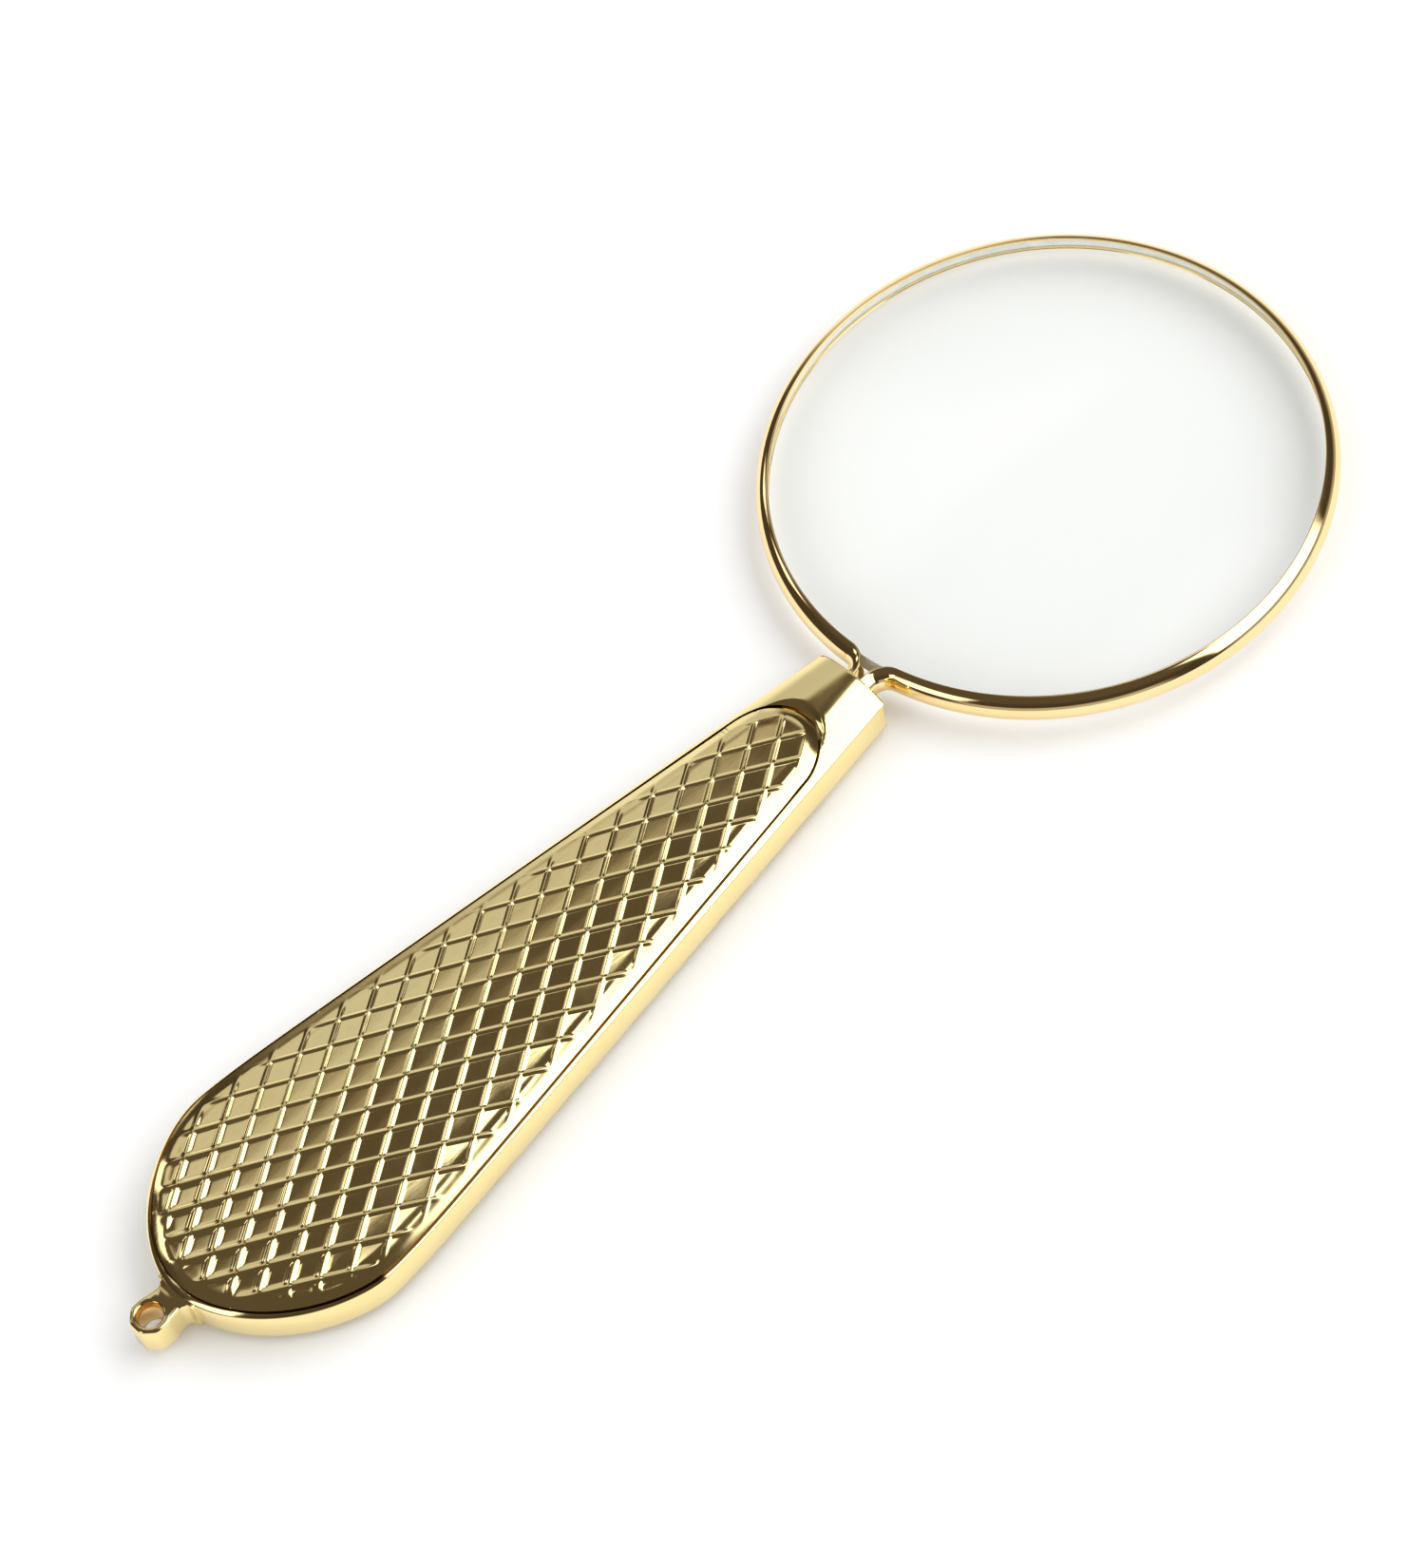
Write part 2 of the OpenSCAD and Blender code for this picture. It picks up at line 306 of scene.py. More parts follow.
def finish_mesh(mesh, name, angle):
    """Make a smooth-shaded object, with edges sharper than angle (degrees) left hard."""
    loose = [edge for edge in mesh.edges if not edge.link_faces]
    bmesh.ops.delete(mesh, geom=loose, context="EDGES")
    bmesh.ops.recalc_face_normals(mesh, faces=mesh.faces)
    data = bpy.data.meshes.new(name)
    mesh.to_mesh(data)
    mesh.free()
    obj = link_object(name, data)
    data.polygons.foreach_set("use_smooth", [True] * len(data.polygons))
    # loaded again, so that the face normals are fresh
    mesh = bmesh.new()
    mesh.from_mesh(data)
    for edge in mesh.edges:
        if len(edge.link_faces) == 2 and edge.calc_face_angle(0) > math.radians(angle):
            edge.smooth = False
    mesh.to_mesh(data)
    mesh.free()
    return obj


def add_vert(mesh, x, y, z):
    return mesh.verts.new((x * MM, y * MM, z * MM))


def add_circle(mesh, centre, radius, z, count):
    return [
        add_vert(mesh, centre[0] + radius * math.cos(a), centre[1] + radius * math.sin(a), z)
        for a in np.arange(count) * 2 * math.pi / count
    ]


def add_bands(mesh, loops, swapped=False):
    """Quads between successive closed loops; swapped turns their winding over."""
    for lower, upper in zip(loops[:-1], loops[1:]):
        for i in range(len(lower)):
            j = (i + 1) % len(lower)
            quad = [lower[i], upper[i], upper[j], lower[j]]
            if swapped:
                quad[1:] = quad[:0:-1]
            mesh.faces.new(quad)


# ---------------------------------------------------------------- shell body
MOUTH_HALF = float(half_width(MOUTH - CORNER_R))
STRAIGHT = MOUTH_HALF - CORNER_R         # half the mouth's straight part
MOUTH_ZONE = MOUTH - 1.2                 # beyond this the surface turns over to the mouth

# in plan and clockwise: down the right side, up the left, then across the mouth
CORNER = np.array([
    (STRAIGHT + CORNER_R * math.cos(a), MOUTH - CORNER_R + CORNER_R * math.sin(a))
    for a in np.linspace(math.pi / 2, 0, 9)[:-1]
])
EDGE = both_sides(np.concatenate([CORNER, FULL_SIDE]))
MOUTH_X = np.concatenate([
    np.linspace(-STRAIGHT, -SOCKET_X, 5),
    np.linspace(-SOCKET_X, SOCKET_X, 18)[1:],
    np.linspace(SOCKET_X, STRAIGHT, 5)[1:],
])[1:-1]
OUTLINE = np.concatenate([EDGE, plan_points(MOUTH_X, np.full(len(MOUTH_X), MOUTH))])
LIP = offset_loop(PANEL[:-1], LIP_GAP)   # outer side of the groove round the panel

# distances in from the edge: rows joined by fixed edges, then rows of free points
JOINED_ROWS = (0.03, 0.08, 0.15, 0.24, 0.35, 0.47, 0.6)
FREE_ROWS = (0.74, 0.9, 1.1, 1.35, 1.65, 2.0)
MOUTH_ROWS = (0.04, 0.09, 0.15, 0.22, 0.3, 0.45)
# distances out from the lip
LIP_ROWS = (0.06, 0.13, 0.22, 0.33, 0.46, 0.62, 0.8, 1.0, 1.25, 1.5, 1.8)


def fill_points():
    """Points between outline and lip, the joined rows first, and the joined points' stations."""
    rows = np.concatenate([offset_loop(EDGE, -inset) for inset in JOINED_ROWS])
    at_mouth = rows[:, 1] > MOUTH_ZONE
    station = np.arange(len(rows))[~at_mouth]
    fill, rows = [rows[at_mouth]], rows[~at_mouth]
    fill += [offset_loop(EDGE, -inset) for inset in FREE_ROWS]
    across = np.linspace(-(MOUTH_HALF - 0.5), MOUTH_HALF - 0.5, 27)
    fill += [plan_points(across, np.full(27, MOUTH - inset)) for inset in MOUTH_ROWS]
    for outward in LIP_ROWS:
        loop = offset_loop(LIP, outward)
        fill.append(loop[loop[:, 1] > PANEL_TOP - 12])
    grid_y, grid_x = np.meshgrid(
        np.arange(PANEL_TOP - 8, MOUTH - 0.6, 0.36), np.arange(-5, 5.01, 0.33), indexing="ij"
    )
    grid = plan_points(grid_x.ravel(), grid_y.ravel())
    fill.append(grid[(distance(grid, PANEL_LOOP) > 1.9) & (distance(grid, SIDES) > 1.9)])
    fill = thin(np.concatenate(fill), 0.09)
    clear = (distance(fill, EDGE) > 0.68) | (fill[:, 1] > MOUTH_ZONE)
    fill = np.concatenate([rows, fill[clear]])
    keep = inside(fill, OUTLINE) & ~inside(fill, LIP)
    keep &= (distance(fill, closed(LIP)) > 0.02) & (distance(fill, closed(OUTLINE)) > 0.02)
    return fill[keep], station[keep[:len(station)]]


def top_surface():
    """Triangulated plan between outline and lip: points, triangles, and input to output index."""
    fill, station = fill_points()
    n_out, n_lip = len(OUTLINE), len(LIP)
    edges = [(i, (i + 1) % n_out) for i in range(n_out)]
    edges += [(n_out + i, n_out + (i + 1) % n_lip) for i in range(n_lip)]
    first = n_out + n_lip
    edges += [
        (first + i, first + i + 1)
        for i in range(len(station) - 1)
        if station[i + 1] - station[i] == 1 and station[i + 1] % len(EDGE)
    ]
    given = [Vector(point) for point in np.concatenate([OUTLINE, LIP, fill])]
    found, _, triangles, origins, _, _ = delaunay_2d_cdt(given, edges, [], 0, 1e-6)
    points = np.array([[v.x, v.y] for v in found])
    index = {k: i for i, origin in enumerate(origins) for k in origin}
    tri = np.array(triangles)
    middle = points[tri].mean(1)
    side1 = points[tri[:, 1]] - points[tri[:, 0]]
    side2 = points[tri[:, 2]] - points[tri[:, 0]]
    area = np.abs(side1[:, 0] * side2[:, 1] - side1[:, 1] * side2[:, 0]) / 2
    tri = tri[inside(middle, OUTLINE) & ~inside(middle, LIP) & (area > 2e-5)]
    return points, tri, index


def add_shell_body(mesh, sign, painted_shade):
    """One shell's wall, rim, neck, panel groove, mouth and hollow, as a closed solid."""

    def vert(x, y, height):
        return add_vert(mesh, x, y, sign * height)

    points, tri, index = top_surface()
    z = body_z(points)
    surface = {int(i): vert(points[i, 0], points[i, 1], z[i]) for i in np.unique(tri)}
    for corners in tri.tolist():
        mesh.faces.new([surface[i] for i in corners])

    # wall down to the mid-plane
    n_out, n_edge, n_lip = len(OUTLINE), len(EDGE), len(LIP)
    top = [surface[index[i]] for i in range(n_out)]
    low = [vert(x, y, 0) for x, y in EDGE]
    for i in range(n_edge - 1):
        mesh.faces.new((top[i], low[i], low[i + 1], top[i + 1]))

    # groove round the panel, painted dark at the bottom as shade
    groove_top = [surface[index[n_out + i]] for i in range(n_lip)]
    groove_low = [vert(x, y, WALL_Z + 0.1) for x, y in LIP]
    for v in groove_low:
        v[painted_shade] = FULL_SHADE
    for i in range(n_lip):
        j = (i + 1) % n_lip
        mesh.faces.new((groove_top[i], groove_low[i], groove_low[j], groove_top[j]))
    mesh.faces.new(groove_low)

    # mouth, socket and hollow; right is +X
    right_low, right_top = (vert(SOCKET_X, MOUTH, height) for height in (0, SOCKET_Z))
    left_low, left_top = (vert(-SOCKET_X, MOUTH, height) for height in (0, SOCKET_Z))
    mesh.faces.new(
        [top[n_edge - 1]] + top[n_edge:]
        + [top[0], low[0], right_low, right_top, left_top, left_low, low[-1]]
    )
    inner = side_curve(top=SOCKET_END, step=2.0, n_tail=26, inset=SHELL_WALL)
    hollow = both_sides(np.concatenate([[[SOCKET_X, SOCKET_END]], inner]))
    base = [vert(x, y, 0) for x, y in hollow]
    roof = [vert(x, y, WALL_Z) for x, y in hollow]
    right_end, left_end = (vert(x, SOCKET_END, SOCKET_Z) for x in (SOCKET_X, -SOCKET_X))
    for i in range(len(base) - 1):
        mesh.faces.new((base[i], base[i + 1], roof[i + 1], roof[i]))
    mesh.faces.new(roof)
    mesh.faces.new((roof[0], roof[-1], left_end, right_end))
    mesh.faces.new((right_low, base[0], roof[0], right_end, right_top))
    mesh.faces.new((left_low, base[-1], roof[-1], left_end, left_top))
    mesh.faces.new((right_top, right_end, left_end, left_top))
    mesh.faces.new(low + [left_low] + base[::-1] + [right_low])


# ---------------------------------------------------------------- panel
# where grid lines cross a cell, from one ridge to its middle, and mirrored to the next ridge
HALF_CUTS = [0.0, 0.018, 0.044, 0.075, 0.108, 0.145, 0.2, 0.285, 0.385, 0.5]
CUTS = np.array(HALF_CUTS + [1 - cut for cut in HALF_CUTS[-2:0:-1]])


def add_panel(mesh, sign, painted_shade):
    """The raised panel: a grid along the diamond's ridges, trimmed to the panel's outline."""
    first = int(math.floor(-16 / CELL_W + (NODE_Y - PANEL_TOP) / CELL_L)) - 1
    last = int(math.ceil(16 / CELL_W + (NODE_Y - TAIL) / CELL_L)) + 1
    line = np.concatenate([CUTS + k for k in range(first, last)])
    n = len(line)
    slant_p, slant_q = np.meshgrid(line, line, indexing="ij")
    grid = plan_points(
        ((slant_p - slant_q) * CELL_W / 2).ravel(),
        (NODE_Y - (slant_p + slant_q) * CELL_L / 2).ravel(),
    )
    box = (np.abs(grid[:, 0]) < 16) & (grid[:, 1] > TAIL - 1) & (grid[:, 1] < PANEL_TOP + 1.5)
    within = np.zeros(len(grid), bool)
    within[box] = inside(grid[box], PANEL)
    within = within.reshape(n, n)

    # cells with any corner inside, and the grid points they use
    lower, upper = slice(None, -1), slice(1, None)
    corners = [(lower, lower), (upper, lower), (lower, upper), (upper, upper)]
    cells = np.logical_or.reduce([within[corner] for corner in corners])
    used = np.zeros((n, n), bool)
    for corner in corners:
        used[corner] |= cells
    index = np.nonzero(used.ravel())[0]

    # points outside snap to the outline
    points = grid[index]
    out = ~within.ravel()[index]
    _, near, segment = nearest_on(points[out], PANEL_LOOP)
    points[out] = near
    z, hollow = panel_z(points)
    z[out] = PANEL_FOOT[segment]
    verts = {}
    for i, k in enumerate(index):
        verts[k] = add_vert(mesh, points[i, 0], points[i, 1], sign * z[i])
        # each point's painted shade: faint in the cells' floors, none on the ridges
        verts[k][painted_shade] = float(hollow[i])
    faces = []
    for i, j in np.argwhere(cells).tolist():
        k = i * n + j
        faces.append(mesh.faces.new([verts[k], verts[k + n], verts[k + n + 1], verts[k + 1]]))
    snapped = [verts[k] for k, moved in zip(index, out) if moved]
    bmesh.ops.remove_doubles(mesh, verts=snapped, dist=0.03 * MM)

    # side down into the groove, painted dark at its foot as shade, and a floor to close it
    faces = [face for face in faces if face.is_valid]
    rim = set()
    for face in faces:
        for edge in face.edges:
            if len(edge.link_faces) == 1:
                rim.add(edge)
    rim = sorted(rim, key=lambda edge: edge.index)
    extruded = bmesh.ops.extrude_edge_only(mesh, edges=rim)["geom"]
    foot = sign * (WALL_Z + 0.05) * MM
    for item in extruded:
        if isinstance(item, bmesh.types.BMVert):
            item.co.z = foot
            item[painted_shade] = FULL_SHADE
    edges = [
        item for item in extruded
        if isinstance(item, bmesh.types.BMEdge) and all(abs(v.co.z - foot) < 1e-9 for v in item.verts)
    ]
    bmesh.ops.edgeloop_fill(mesh, edges=edges)


def make_shell(name, sign):
    """One half of the handle; sign is 1 for the front shell and -1 for the back one."""
    mesh = bmesh.new()
    painted_shade = mesh.verts.layers.float.new("painted_shade")
    add_shell_body(mesh, sign, painted_shade)
    add_panel(mesh, sign, painted_shade)
    return finish_mesh(mesh, name, angle=38)


# ---------------------------------------------------------------- ring
def ring_path():
    """Middle of the wire from its right end round to its left: x, y and the unit tangent."""
    end_x, end_y = SPLIT / 2 + WIRE_D / 2, sleeve_low.y

    def bend_centre(side):
        x = side * (end_x + BEND_R)
        across = x - RING_C.x
        return Vector((x, RING_C.y - math.sqrt((WIRE_R + BEND_R) ** 2 - across * across)))

    def arc(centre, radius, start, stop, count, turn):
        return [
            (centre.x + radius * math.cos(a), centre.y + radius * math.sin(a),
             -turn * math.sin(a), turn * math.cos(a))
            for a in np.linspace(start, stop, count, endpoint=False)
        ]

    right, left = bend_centre(1), bend_centre(-1)
    start = math.atan2(right.y - RING_C.y, right.x - RING_C.x)
    stop = math.atan2(left.y - RING_C.y, left.x - RING_C.x) + 2 * math.pi
    path = [
        (end_x, end_y + (right.y - end_y) * t, 0.0, 1.0)
        for t in np.linspace(0, 1, 8, endpoint=False)
    ]
    path += arc(right, BEND_R, math.pi, start + math.pi, 22, turn=-1)
    path += arc(RING_C, WIRE_R, start, stop, 420, turn=1)
    path += arc(left, BEND_R, stop - math.pi, 0, 22, turn=-1)
    path += [(-end_x, left.y + (end_y - left.y) * t, 0.0, -1.0) for t in np.linspace(0, 1, 9)]
    return path


def wire_profile():
    """Rounded section as (outward, height), with a groove for the glass in its flat inner side."""
    radius = (WIRE_H * WIRE_H / 4 + WIRE_D * WIRE_D) / (2 * WIRE_D)
    centre = WIRE_D / 2 - radius
    flat = -WIRE_D / 2
    start = math.acos((flat + 0.07 - centre) / radius)
    outer = [
        (centre + radius * math.cos(a), radius * math.sin(a))
        for a in np.linspace(start, -start, 45)
    ]
    low = [
        (flat + 0.02, -WIRE_H / 2 + 0.03),
        (flat, -WIRE_H / 2 + 0.09),
        (flat, -GROOVE_Z - 0.05),
        (flat + 0.05, -GROOVE_Z),
        (LENS_R + 0.06 - WIRE_R, -GROOVE_Z),
    ]
    return outer + low + [(outward, -height) for outward, height in low[::-1]]


def make_ring():
    profile = wire_profile()
    mesh = bmesh.new()
    rows = [
        [add_vert(mesh, x + along_y * out, y - along_x * out, z) for out, z in profile]
        for x, y, along_x, along_y in ring_path()
    ]
    add_bands(mesh, rows)
    mesh.faces.new(rows[0])
    mesh.faces.new(rows[-1][::-1])
    return finish_mesh(mesh, "ring_wire", angle=40)


# ---------------------------------------------------------------- lens
def make_lens():
    """Both faces and the edge of the glass, turned from one profile; "ground" marks the edge."""
    edge_z = 1.45
    top = lens_high.z
    rim = LENS_R - 0.05
    sag = top - edge_z
    face_r = (rim * rim + sag * sag) / (2 * sag)
    face = [
        (r, top - (face_r - math.sqrt(face_r * face_r - r * r)))
        for r in rim * np.linspace(0, 1, 56)
    ]
    side = [(rim + 0.05, edge_z - 0.05), (rim + 0.05, -edge_z + 0.05)]
    profile = face + side + [(r, -z) for r, z in face[::-1]]
    n = 220
    mesh = bmesh.new()
    ground = mesh.verts.layers.float.new("ground")
    first, last = (add_vert(mesh, RING_C.x, RING_C.y, profile[i][1]) for i in (0, -1))
    loops = []
    for r, z in profile[1:-1]:
        loops.append(add_circle(mesh, RING_C, r, z, n))
        for v in loops[-1]:
            v[ground] = 1.0 if r > rim + 0.02 else 0.0
    for i in range(n):
        j = (i + 1) % n
        mesh.faces.new([first, loops[0][i], loops[0][j]])
        mesh.faces.new([last, loops[-1][j], loops[-1][i]])
    add_bands(mesh, loops)
    return finish_mesh(mesh, "lens_glass", angle=30)


# ---------------------------------------------------------------- tail eye
EYE_HOLE_R = 1.4
SHANK_HALF, SHANK_FLARE = 1.8, 1.0
EYE_CORNER_R = 0.35
# (drawn in, depth below the face), from the face to the full outline
EYE_CHAMFER = [(0.27, 0.0), (0.14, 0.05), (0.05, 0.16), (0.0, 0.32)]
# (added to the hole's radius, depth below the face)
BORE_CHAMFER = [(0.22, 0.0), (0.08, 0.06), (0.0, 0.2)]


def toward(start, end, step):
    return start + (end - start) * step / math.hypot(*(end - start))


def eye_plan(inset):
    """Outline down the right of the shank, round the head and up the left."""
    shank = SHANK_HALF - inset
    foot_y = TAIL + 0.1
    right = [(shank + SHANK_FLARE, TAIL + 0.9)]
    for a in np.linspace(0, math.pi / 2, 9):
        x = shank + SHANK_FLARE - SHANK_FLARE * math.sin(a)
        right.append((x, foot_y - SHANK_FLARE + SHANK_FLARE * math.cos(a)))
    flat = eye_high.x - inset
    short = flat * math.tan(math.pi / 8)
    corners = np.array([
        (shank, 1.7), (flat, short), (flat, -short), (short, -flat),
        (-short, -flat), (-flat, -short), (-flat, short), (-shank, 1.7),
    ])
    head = []
    for before, corner, after in zip(corners, corners[1:], corners[2:]):
        start = toward(corner, before, EYE_CORNER_R)
        end = toward(corner, after, EYE_CORNER_R)
        for t in (0.0, 0.5, 1.0):
            head.append((1 - t) ** 2 * start + 2 * t * (1 - t) * corner + t * t * end)
    return right + head + [(-x, y) for x, y in right[::-1]]


def through(chamfer):
    """A chamfer's (offset, z) pairs from the lower face up to the upper one."""
    top = eye_high.z
    return [(d, depth - top) for d, depth in chamfer] + [(d, top - depth) for d, depth in chamfer[::-1]]


def make_eye():
    """An eight-sided eye with a chamfered rim and hole, on a shank that flares into the tail."""
    mesh = bmesh.new()
    painted_shade = mesh.verts.layers.float.new("painted_shade")
    outer = [[add_vert(mesh, x, y, z) for x, y in eye_plan(d)] for d, z in through(EYE_CHAMFER)]
    add_bands(mesh, outer, swapped=True)
    bore = []
    for widen, z in through(BORE_CHAMFER):
        bore.append(add_circle(mesh, (0, 0), EYE_HOLE_R + widen, z, 48))
        for v in bore[-1]:
            # the bore is painted a warm amber shade
            v[painted_shade] = FULL_SHADE if widen < 0.1 else 0.0
    add_bands(mesh, bore, swapped=True)
    for end in (-1, 0):
        edges = [
            mesh.edges.get([loop[i], loop[(i + 1) % len(loop)]])
            for loop in (outer[end], bore[end])
            for i in range(len(loop))
        ]
        bmesh.ops.triangle_fill(mesh, edges=edges, use_beauty=True)
    return finish_mesh(mesh, "eye_boss", angle=50)


# ---------------------------------------------------------------- shader helpers
def add_node(tree, kind, inputs=None, **settings):
    """A shader node; each input is given as a value or as the socket that feeds it."""
    node = tree.nodes.new("ShaderNode" + kind)
    for key, value in settings.items():
        setattr(node, key, value)
    for key, value in (inputs or {}).items():
        if isinstance(value, bpy.types.NodeSocket):
            tree.links.new(value, node.inputs[key])
        else:
            node.inputs[key].default_value = value
    return node


def new_material(name):
    material = bpy.data.materials.new(name)
    material.use_nodes = True
    tree = material.node_tree
    tree.nodes.clear()
    output = add_node(tree, "OutputMaterial")
    bsdf = add_node(tree, "BsdfPrincipled")
    tree.links.new(bsdf.outputs[0], output.inputs[0])
    return material, tree, bsdf, output


def noise(tree, scale, detail, roughness=0.6, stretch=None):
    source = add_node(tree, "TexCoord").outputs["Object"]
    if stretch:
        source = add_node(tree, "Mapping", {"Scale": stretch, "Vector": source}).outputs["Vector"]
    return add_node(tree, "TexNoise", {
        "Scale": scale, "Detail": detail, "Roughness": roughness, "Vector": source,
    }).outputs[0]


def color_ramp(tree, source, stops):
    """A ramp of two (position, RGB) stops."""
    node = add_node(tree, "ValToRGB", {0: source})
    for element, (position, color) in zip(node.color_ramp.elements, stops):
        element.position = position
        element.color = (*color, 1)
    return node.outputs[0]


def map_range(tree, value, low, high, at_low, at_high, kind="LINEAR"):
    return add_node(tree, "MapRange", {
        "From Min": low, "From Max": high, "To Min": at_low, "To Max": at_high, "Value": value,
    }, interpolation_type=kind).outputs[0]


def math_node(tree, operation, *values, clamp=False):
    inputs = dict(enumerate(values))
    return add_node(tree, "Math", inputs, operation=operation, use_clamp=clamp).outputs[0]


def bump_normal(tree, height, strength, reach):
    inputs = {"Strength": strength, "Distance": reach, "Height": height}
    return add_node(tree, "Bump", inputs).outputs[0]


# ---------------------------------------------------------------- materials
def metal(name, base, warm, rough, bump, painted_shade=None):
    """Metal mottled from base to warm, rough between two values; the last argument is a shade colour,
    painted where the mesh marks grooves and hollows.
    """
    material, tree, bsdf, _ = new_material(name)
    bsdf.inputs["Metallic"].default_value = 1.0
    color = color_ramp(tree, noise(tree, scale=55.0, detail=3.0), [(0.35, base), (0.7, warm)])
    if painted_shade:
        # the mesh's marks set how much of the painted shade colour is mixed in
        mark = add_node(tree, "Attribute", attribute_name="painted_shade").outputs["Fac"]
        mix = add_node(tree, "Mix", data_type="RGBA")
        share = map_range(tree, mark, low=0.9, high=2.6, at_low=0.0, at_high=1.0)
        tree.links.new(share, mix.inputs["Factor"])
        tree.links.new(color, mix.inputs["A"])
        mix.inputs["B"].default_value = (*painted_shade, 1)
        color = mix.outputs["Result"]
    tree.links.new(color, bsdf.inputs["Base Color"])
    smudge = noise(tree, scale=120.0, detail=5.0)
    roughness = map_range(tree, smudge, low=0.35, high=0.65, at_low=rough[0], at_high=rough[1])
    tree.links.new(roughness, bsdf.inputs["Roughness"])
    fine = noise(tree, scale=900.0, detail=3.0, roughness=0.7, stretch=(1.0, 0.25, 1.0))
    wave = noise(tree, scale=160.0, detail=2.0)
    height = math_node(tree, "MULTIPLY_ADD", fine, 0.25, wave)
    normal = bump_normal(tree, height, strength=bump, reach=0.0006)
    tree.links.new(normal, bsdf.inputs["Normal"])
    return material


def glass():
    material, tree, bsdf, output = new_material("lens_glass")
    bsdf.inputs["Base Color"].default_value = (0.885, 0.9, 0.875, 1)
    bsdf.inputs["Roughness"].default_value = 0.0
    bsdf.inputs["IOR"].default_value = 1.5
    bsdf.inputs["Transmission Weight"].default_value = 1.0
    ripple = noise(tree, scale=70.0, detail=2.0)
    normal = bump_normal(tree, ripple, strength=0.004, reach=0.0005)
    tree.links.new(normal, bsdf.inputs["Normal"])
    # the edge is ground matt, and looks pale green-grey
    matt = add_node(tree, "BsdfPrincipled", {"Roughness": 0.75})
    grain = noise(tree, scale=600.0, detail=3.0)
    tone = color_ramp(tree, grain, [(0.35, (0.78, 0.82, 0.76)), (0.65, (0.9, 0.93, 0.88))])
    tree.links.new(tone, matt.inputs["Base Color"])
    edge = add_node(tree, "Attribute", attribute_name="ground").outputs["Fac"]
    edge_mix = add_node(tree, "MixShader", {0: edge, 2: matt.outputs[0]})
    # light caught inside the glass is let out after its second bounce
    depth = add_node(tree, "LightPath").outputs["Ray Depth"]
    deep = math_node(tree, "GREATER_THAN", depth, 1.5)
    clear = add_node(tree, "BsdfTransparent")
    let_out = add_node(tree, "MixShader", {0: deep, 1: bsdf.outputs[0], 2: clear.outputs[0]})
    tree.links.new(let_out.outputs[0], edge_mix.inputs[1])
    tree.links.new(edge_mix.outputs[0], output.inputs["Surface"])
    return material


GOLD = {"base": (1.0, 0.84, 0.42), "warm": (0.98, 0.79, 0.37)}
# the shell's grooves get a dark brown painted shade
mat_shell = metal("plated_shell", **GOLD, rough=(0.045, 0.11), bump=0.03, painted_shade=(0.17, 0.09, 0.035))
mat_ring = metal(
    "plated_ring", base=(1.0, 0.79, 0.42), warm=(0.98, 0.74, 0.36), rough=(0.04, 0.09), bump=0.02
)
# the eye's bore gets an amber painted shade
mat_eye = metal("plated_eye", **GOLD, rough=(0.05, 0.12), bump=0.05, painted_shade=(0.85, 0.58, 0.25))
mat_brass = metal(
    "bare_brass", base=(0.72, 0.52, 0.24), warm=(0.62, 0.42, 0.18), rough=(0.22, 0.4), bump=0.15
)
mat_steel = metal(
    "steel_pin", base=(0.6, 0.6, 0.62), warm=(0.5, 0.5, 0.52), rough=(0.2, 0.35), bump=0.1
)
mat_glass = glass()


# ---------------------------------------------------------------- pieces into the frame
def wear(obj, material):
    obj.data.materials.clear()
    obj.data.materials.append(material)


front = make_shell("shell_front", 1)
back = make_shell("shell_back", -1)
ring = make_ring()
lens = make_lens()
eye = make_eye()
for obj, material, node, slot in (
    (front, mat_shell, "handle_front", "plated_shell"),
    (back, mat_shell, "handle_back", "plated_shell"),
    (ring, mat_ring, "lens_ring", "plated_ring"),
    (lens, mat_glass, "lens", "glass"),
    (eye, mat_eye, "tail_eye", "plated_shell"),
):
    wear(obj, material)
    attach(obj, "root")
    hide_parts(node)
wear(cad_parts["ring_sleeve"], mat_brass)
wear(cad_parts["shell_dowels"], mat_steel)
lens.visible_shadow = False
lens.visible_diffuse = False


# ---------------------------------------------------------------- floor, in metres
def make_floor():
    half, z = 3.0, -(CROWN_Z + 0.03) * MM
    mesh = bmesh.new()
    signs = ((-1, -1), (1, -1), (1, 1), (-1, 1))
    mesh.faces.new([mesh.verts.new((x * half, y * half, z)) for x, y in signs])
    data = bpy.data.meshes.new("floor")
    mesh.to_mesh(data)
    mesh.free()
    floor = link_object("floor", data)
    material, tree, bsdf, _ = new_material("floor_paper")
    bsdf.inputs["Roughness"].default_value = 0.9
    bsdf.inputs["Specular IOR Level"].default_value = 0.1
    mottle = noise(tree, scale=6.0, detail=3.0)
    tone = color_ramp(tree, mottle, [(0.3, (0.9, 0.9, 0.9)), (0.7, (0.92, 0.92, 0.92))])
    tree.links.new(tone, bsdf.inputs["Base Color"])
    data.materials.append(material)
    return floor


make_floor()

scene.view_settings.view_transform = "Standard"
scene.view_settings.look = "None"
scene.view_settings.exposure = 0.0
scene.view_settings.gamma = 1.0


# ---------------------------------------------------------------- lights, in metres
def softbox(name, azimuth, elevation, width, height, radiance):
    """Area light aimed at the handle; azimuth is from +X towards +Y, in degrees."""
    light = bpy.data.lights.new(name, "AREA")
    light.shape = "RECTANGLE"
    light.size, light.size_y = width, height
    light.energy = radiance * math.pi * width * height
    obj = link_object(name, light)
    turn, rise = math.radians(azimuth), math.radians(elevation)
    out = Vector((
        math.cos(rise) * math.cos(turn), math.cos(rise) * math.sin(turn), math.sin(rise)
    ))
    obj.location = Vector((0.0, 0.085, 0.0)) + out * 1.6
    obj.rotation_euler = out.to_track_quat("Z", "Y").to_euler()
    obj.visible_glossy = False
    obj.visible_transmission = False


softbox("key", azimuth=62, elevation=47, width=2.2, height=1.15, radiance=1.95)
softbox("front", azimuth=-92, elevation=40, width=1.1, height=0.75, radiance=1.5)


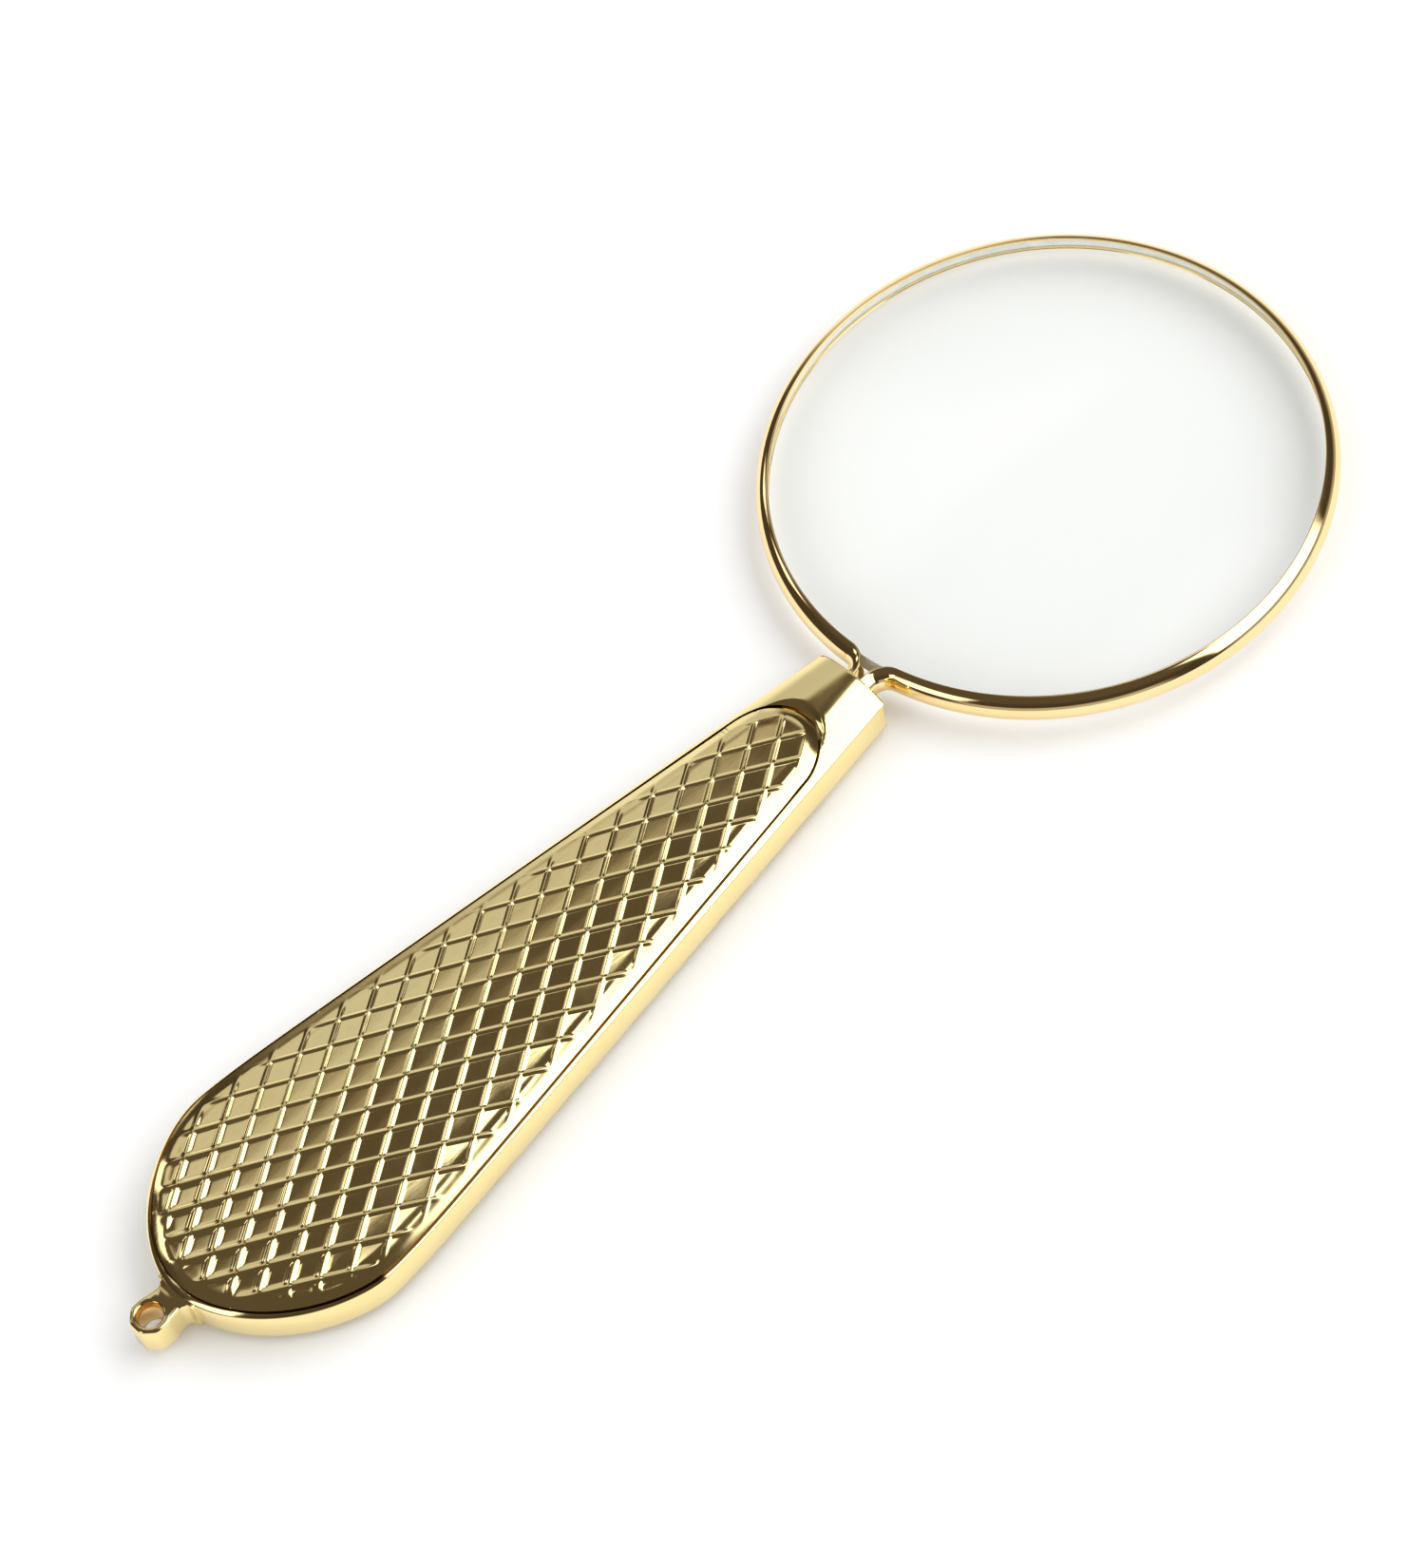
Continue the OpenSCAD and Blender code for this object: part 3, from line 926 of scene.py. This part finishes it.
# ---------------------------------------------------------------- world
def make_world():
    """A room of soft-edged bright areas for reflections, and plain levels for other rays."""
    world = bpy.data.worlds.new("studio")
    scene.world = world
    world.use_nodes = True
    tree = world.node_tree
    tree.nodes.clear()
    output = add_node(tree, "OutputWorld")
    background = add_node(tree, "Background")
    tree.links.new(background.outputs[0], output.inputs[0])
    coords = add_node(tree, "TexCoord")
    axes = add_node(tree, "SeparateXYZ", {0: coords.outputs["Generated"]}).outputs
    x, y, z = axes["X"], axes["Y"], axes["Z"]
    rad = math.radians

    def calc(operation, *values, clamp=False):
        return math_node(tree, operation, *values, clamp=clamp)

    def step(value, low, high, at_low, at_high):
        return map_range(tree, value, low, high, at_low, at_high, kind="SMOOTHSTEP")

    def above(value, level, soft=0.03):
        return step(value, level - soft, level + soft, 0.0, 1.0)

    def below(value, level, soft=0.03):
        return step(value, level - soft, level + soft, 1.0, 0.0)

    def all_of(first, *others):
        for other in others:
            first = calc("MULTIPLY", first, other)
        return first

    azimuth = calc("ARCTAN2", y, x)
    # the same angle, from -X
    turned = calc("ARCTAN2", calc("MULTIPLY", y, -1.0), calc("MULTIPLY", x, -1.0))

    def window(turn, turn_soft, height, top_soft):
        """A window between two angles (degrees from -X) and two heights."""
        return all_of(
            above(turned, rad(turn[0]), turn_soft[0]), below(turned, rad(turn[1]), turn_soft[1]),
            above(z, height[0]), below(z, height[1], top_soft),
        )

    # big window on the +Y side, reaching round to +X
    key_box = all_of(
        above(x, -0.28),
        above(y, 0.12),
        below(calc("MULTIPLY_ADD", x, -0.465, y), 0.58, soft=0.05),
        above(z, 0.3),
        below(z, 0.955, soft=0.015),
    )
    # second window on the -Y side, and two narrow ones near -X
    front_box = window(turn=(75, 102), turn_soft=(0.04, 0.05), height=(0.34, 0.72), top_soft=0.03)
    slit_box = window(turn=(0.5, 9), turn_soft=(0.02, 0.03), height=(0.4, 0.6), top_soft=0.03)
    lamp_box = window(turn=(14, 28), turn_soft=(0.03, 0.03), height=(0.56, 0.72), top_soft=0.02)
    # grey wall on the -X, +Y side, spreading as it rises
    from_low = calc("SUBTRACT", azimuth, step(z, 0.5, 0.68, rad(141), rad(122)))
    from_high = calc("SUBTRACT", azimuth, step(z, 0.5, 0.68, rad(162), rad(178)))
    lowered = calc("SUBTRACT", z, step(azimuth, rad(146), rad(170), 0.0, 0.06))
    side_wall = all_of(
        above(from_low, 0.0, soft=0.07),
        below(from_high, 0.0, soft=0.07),
        step(lowered, 0.737, 0.845, 1.0, 0.0),
    )
    # pale bands near the horizon, towards +Y and towards +X, -Y
    far_edge = all_of(above(y, 0.2, soft=0.1), step(z, 0.1, 0.4, 1.0, 0.0))
    near_edge = all_of(
        above(azimuth, rad(-78), soft=0.1),
        below(azimuth, rad(-12), soft=0.1),
        step(z, 0.26, 0.38, 1.0, 0.0),
    )
    studio = calc("ADD", step(z, 0.6, 0.8, 0.06, 0.095), calc("MULTIPLY", key_box, 2.3))
    for area, strength in (
        (front_box, 1.8), (slit_box, 1.5), (lamp_box, 1.5),
        (side_wall, 0.52), (far_edge, 0.4), (near_edge, 0.42),
    ):
        studio = calc("MULTIPLY_ADD", area, strength, studio)

    path = add_node(tree, "LightPath").outputs
    camera_ray, diffuse_ray = path["Is Camera Ray"], path["Is Diffuse Ray"]
    glossy_ray, singular_ray = path["Is Glossy Ray"], path["Is Singular Ray"]
    diffuse = calc("MULTIPLY", diffuse_ray, 0.8)
    # mirror-sharp reflections are dimmed, and get a plain level after the first bounce
    glossy = calc("MULTIPLY", glossy_ray, studio)
    glossy = calc("MULTIPLY", glossy, calc("MULTIPLY_ADD", singular_ray, -0.6, 1.0))
    deep = calc("MULTIPLY", singular_ray, calc("GREATER_THAN", path["Ray Depth"], 1.5))
    deep = calc("MULTIPLY", deep, glossy_ray)
    glossy = calc("MULTIPLY_ADD", deep, 0.75, glossy)
    total = calc("ADD", calc("MULTIPLY", camera_ray, 0.97), calc("ADD", diffuse, glossy))
    known = calc("ADD", calc("ADD", camera_ray, diffuse_ray), glossy_ray, clamp=True)
    other = calc("MULTIPLY", calc("SUBTRACT", 1.0, known), 0.9)
    tree.links.new(calc("ADD", total, other), background.inputs["Strength"])
    # dim parts are warm
    warmth = [(0.05, (1.0, 0.77, 0.52)), (0.6, (1, 1, 1))]
    tint = color_ramp(tree, calc("ADD", total, other), warmth)
    tree.links.new(tint, background.inputs["Color"])


make_world()


# ---------------------------------------------------------------- camera
def make_camera():
    data = bpy.data.cameras.new("camera")
    data.sensor_fit = "HORIZONTAL"
    data.sensor_width = 36.0
    data.lens = 144.0
    data.clip_start = 0.01
    data.clip_end = 50
    camera = link_object("camera", data)
    right = (0.68890829, 0.71083183, -0.14185727)
    up = (-0.55220597, 0.64145274, 0.5325476)
    backward = (0.46954652, -0.28854202, 0.83442769)
    pose = Matrix((right, up, backward)).transposed().to_4x4()
    pose.translation = Vector((280.24858234, -91.44760695, 503.43744799)) * MM
    camera.matrix_world = pose
    scene.camera = camera


make_camera()
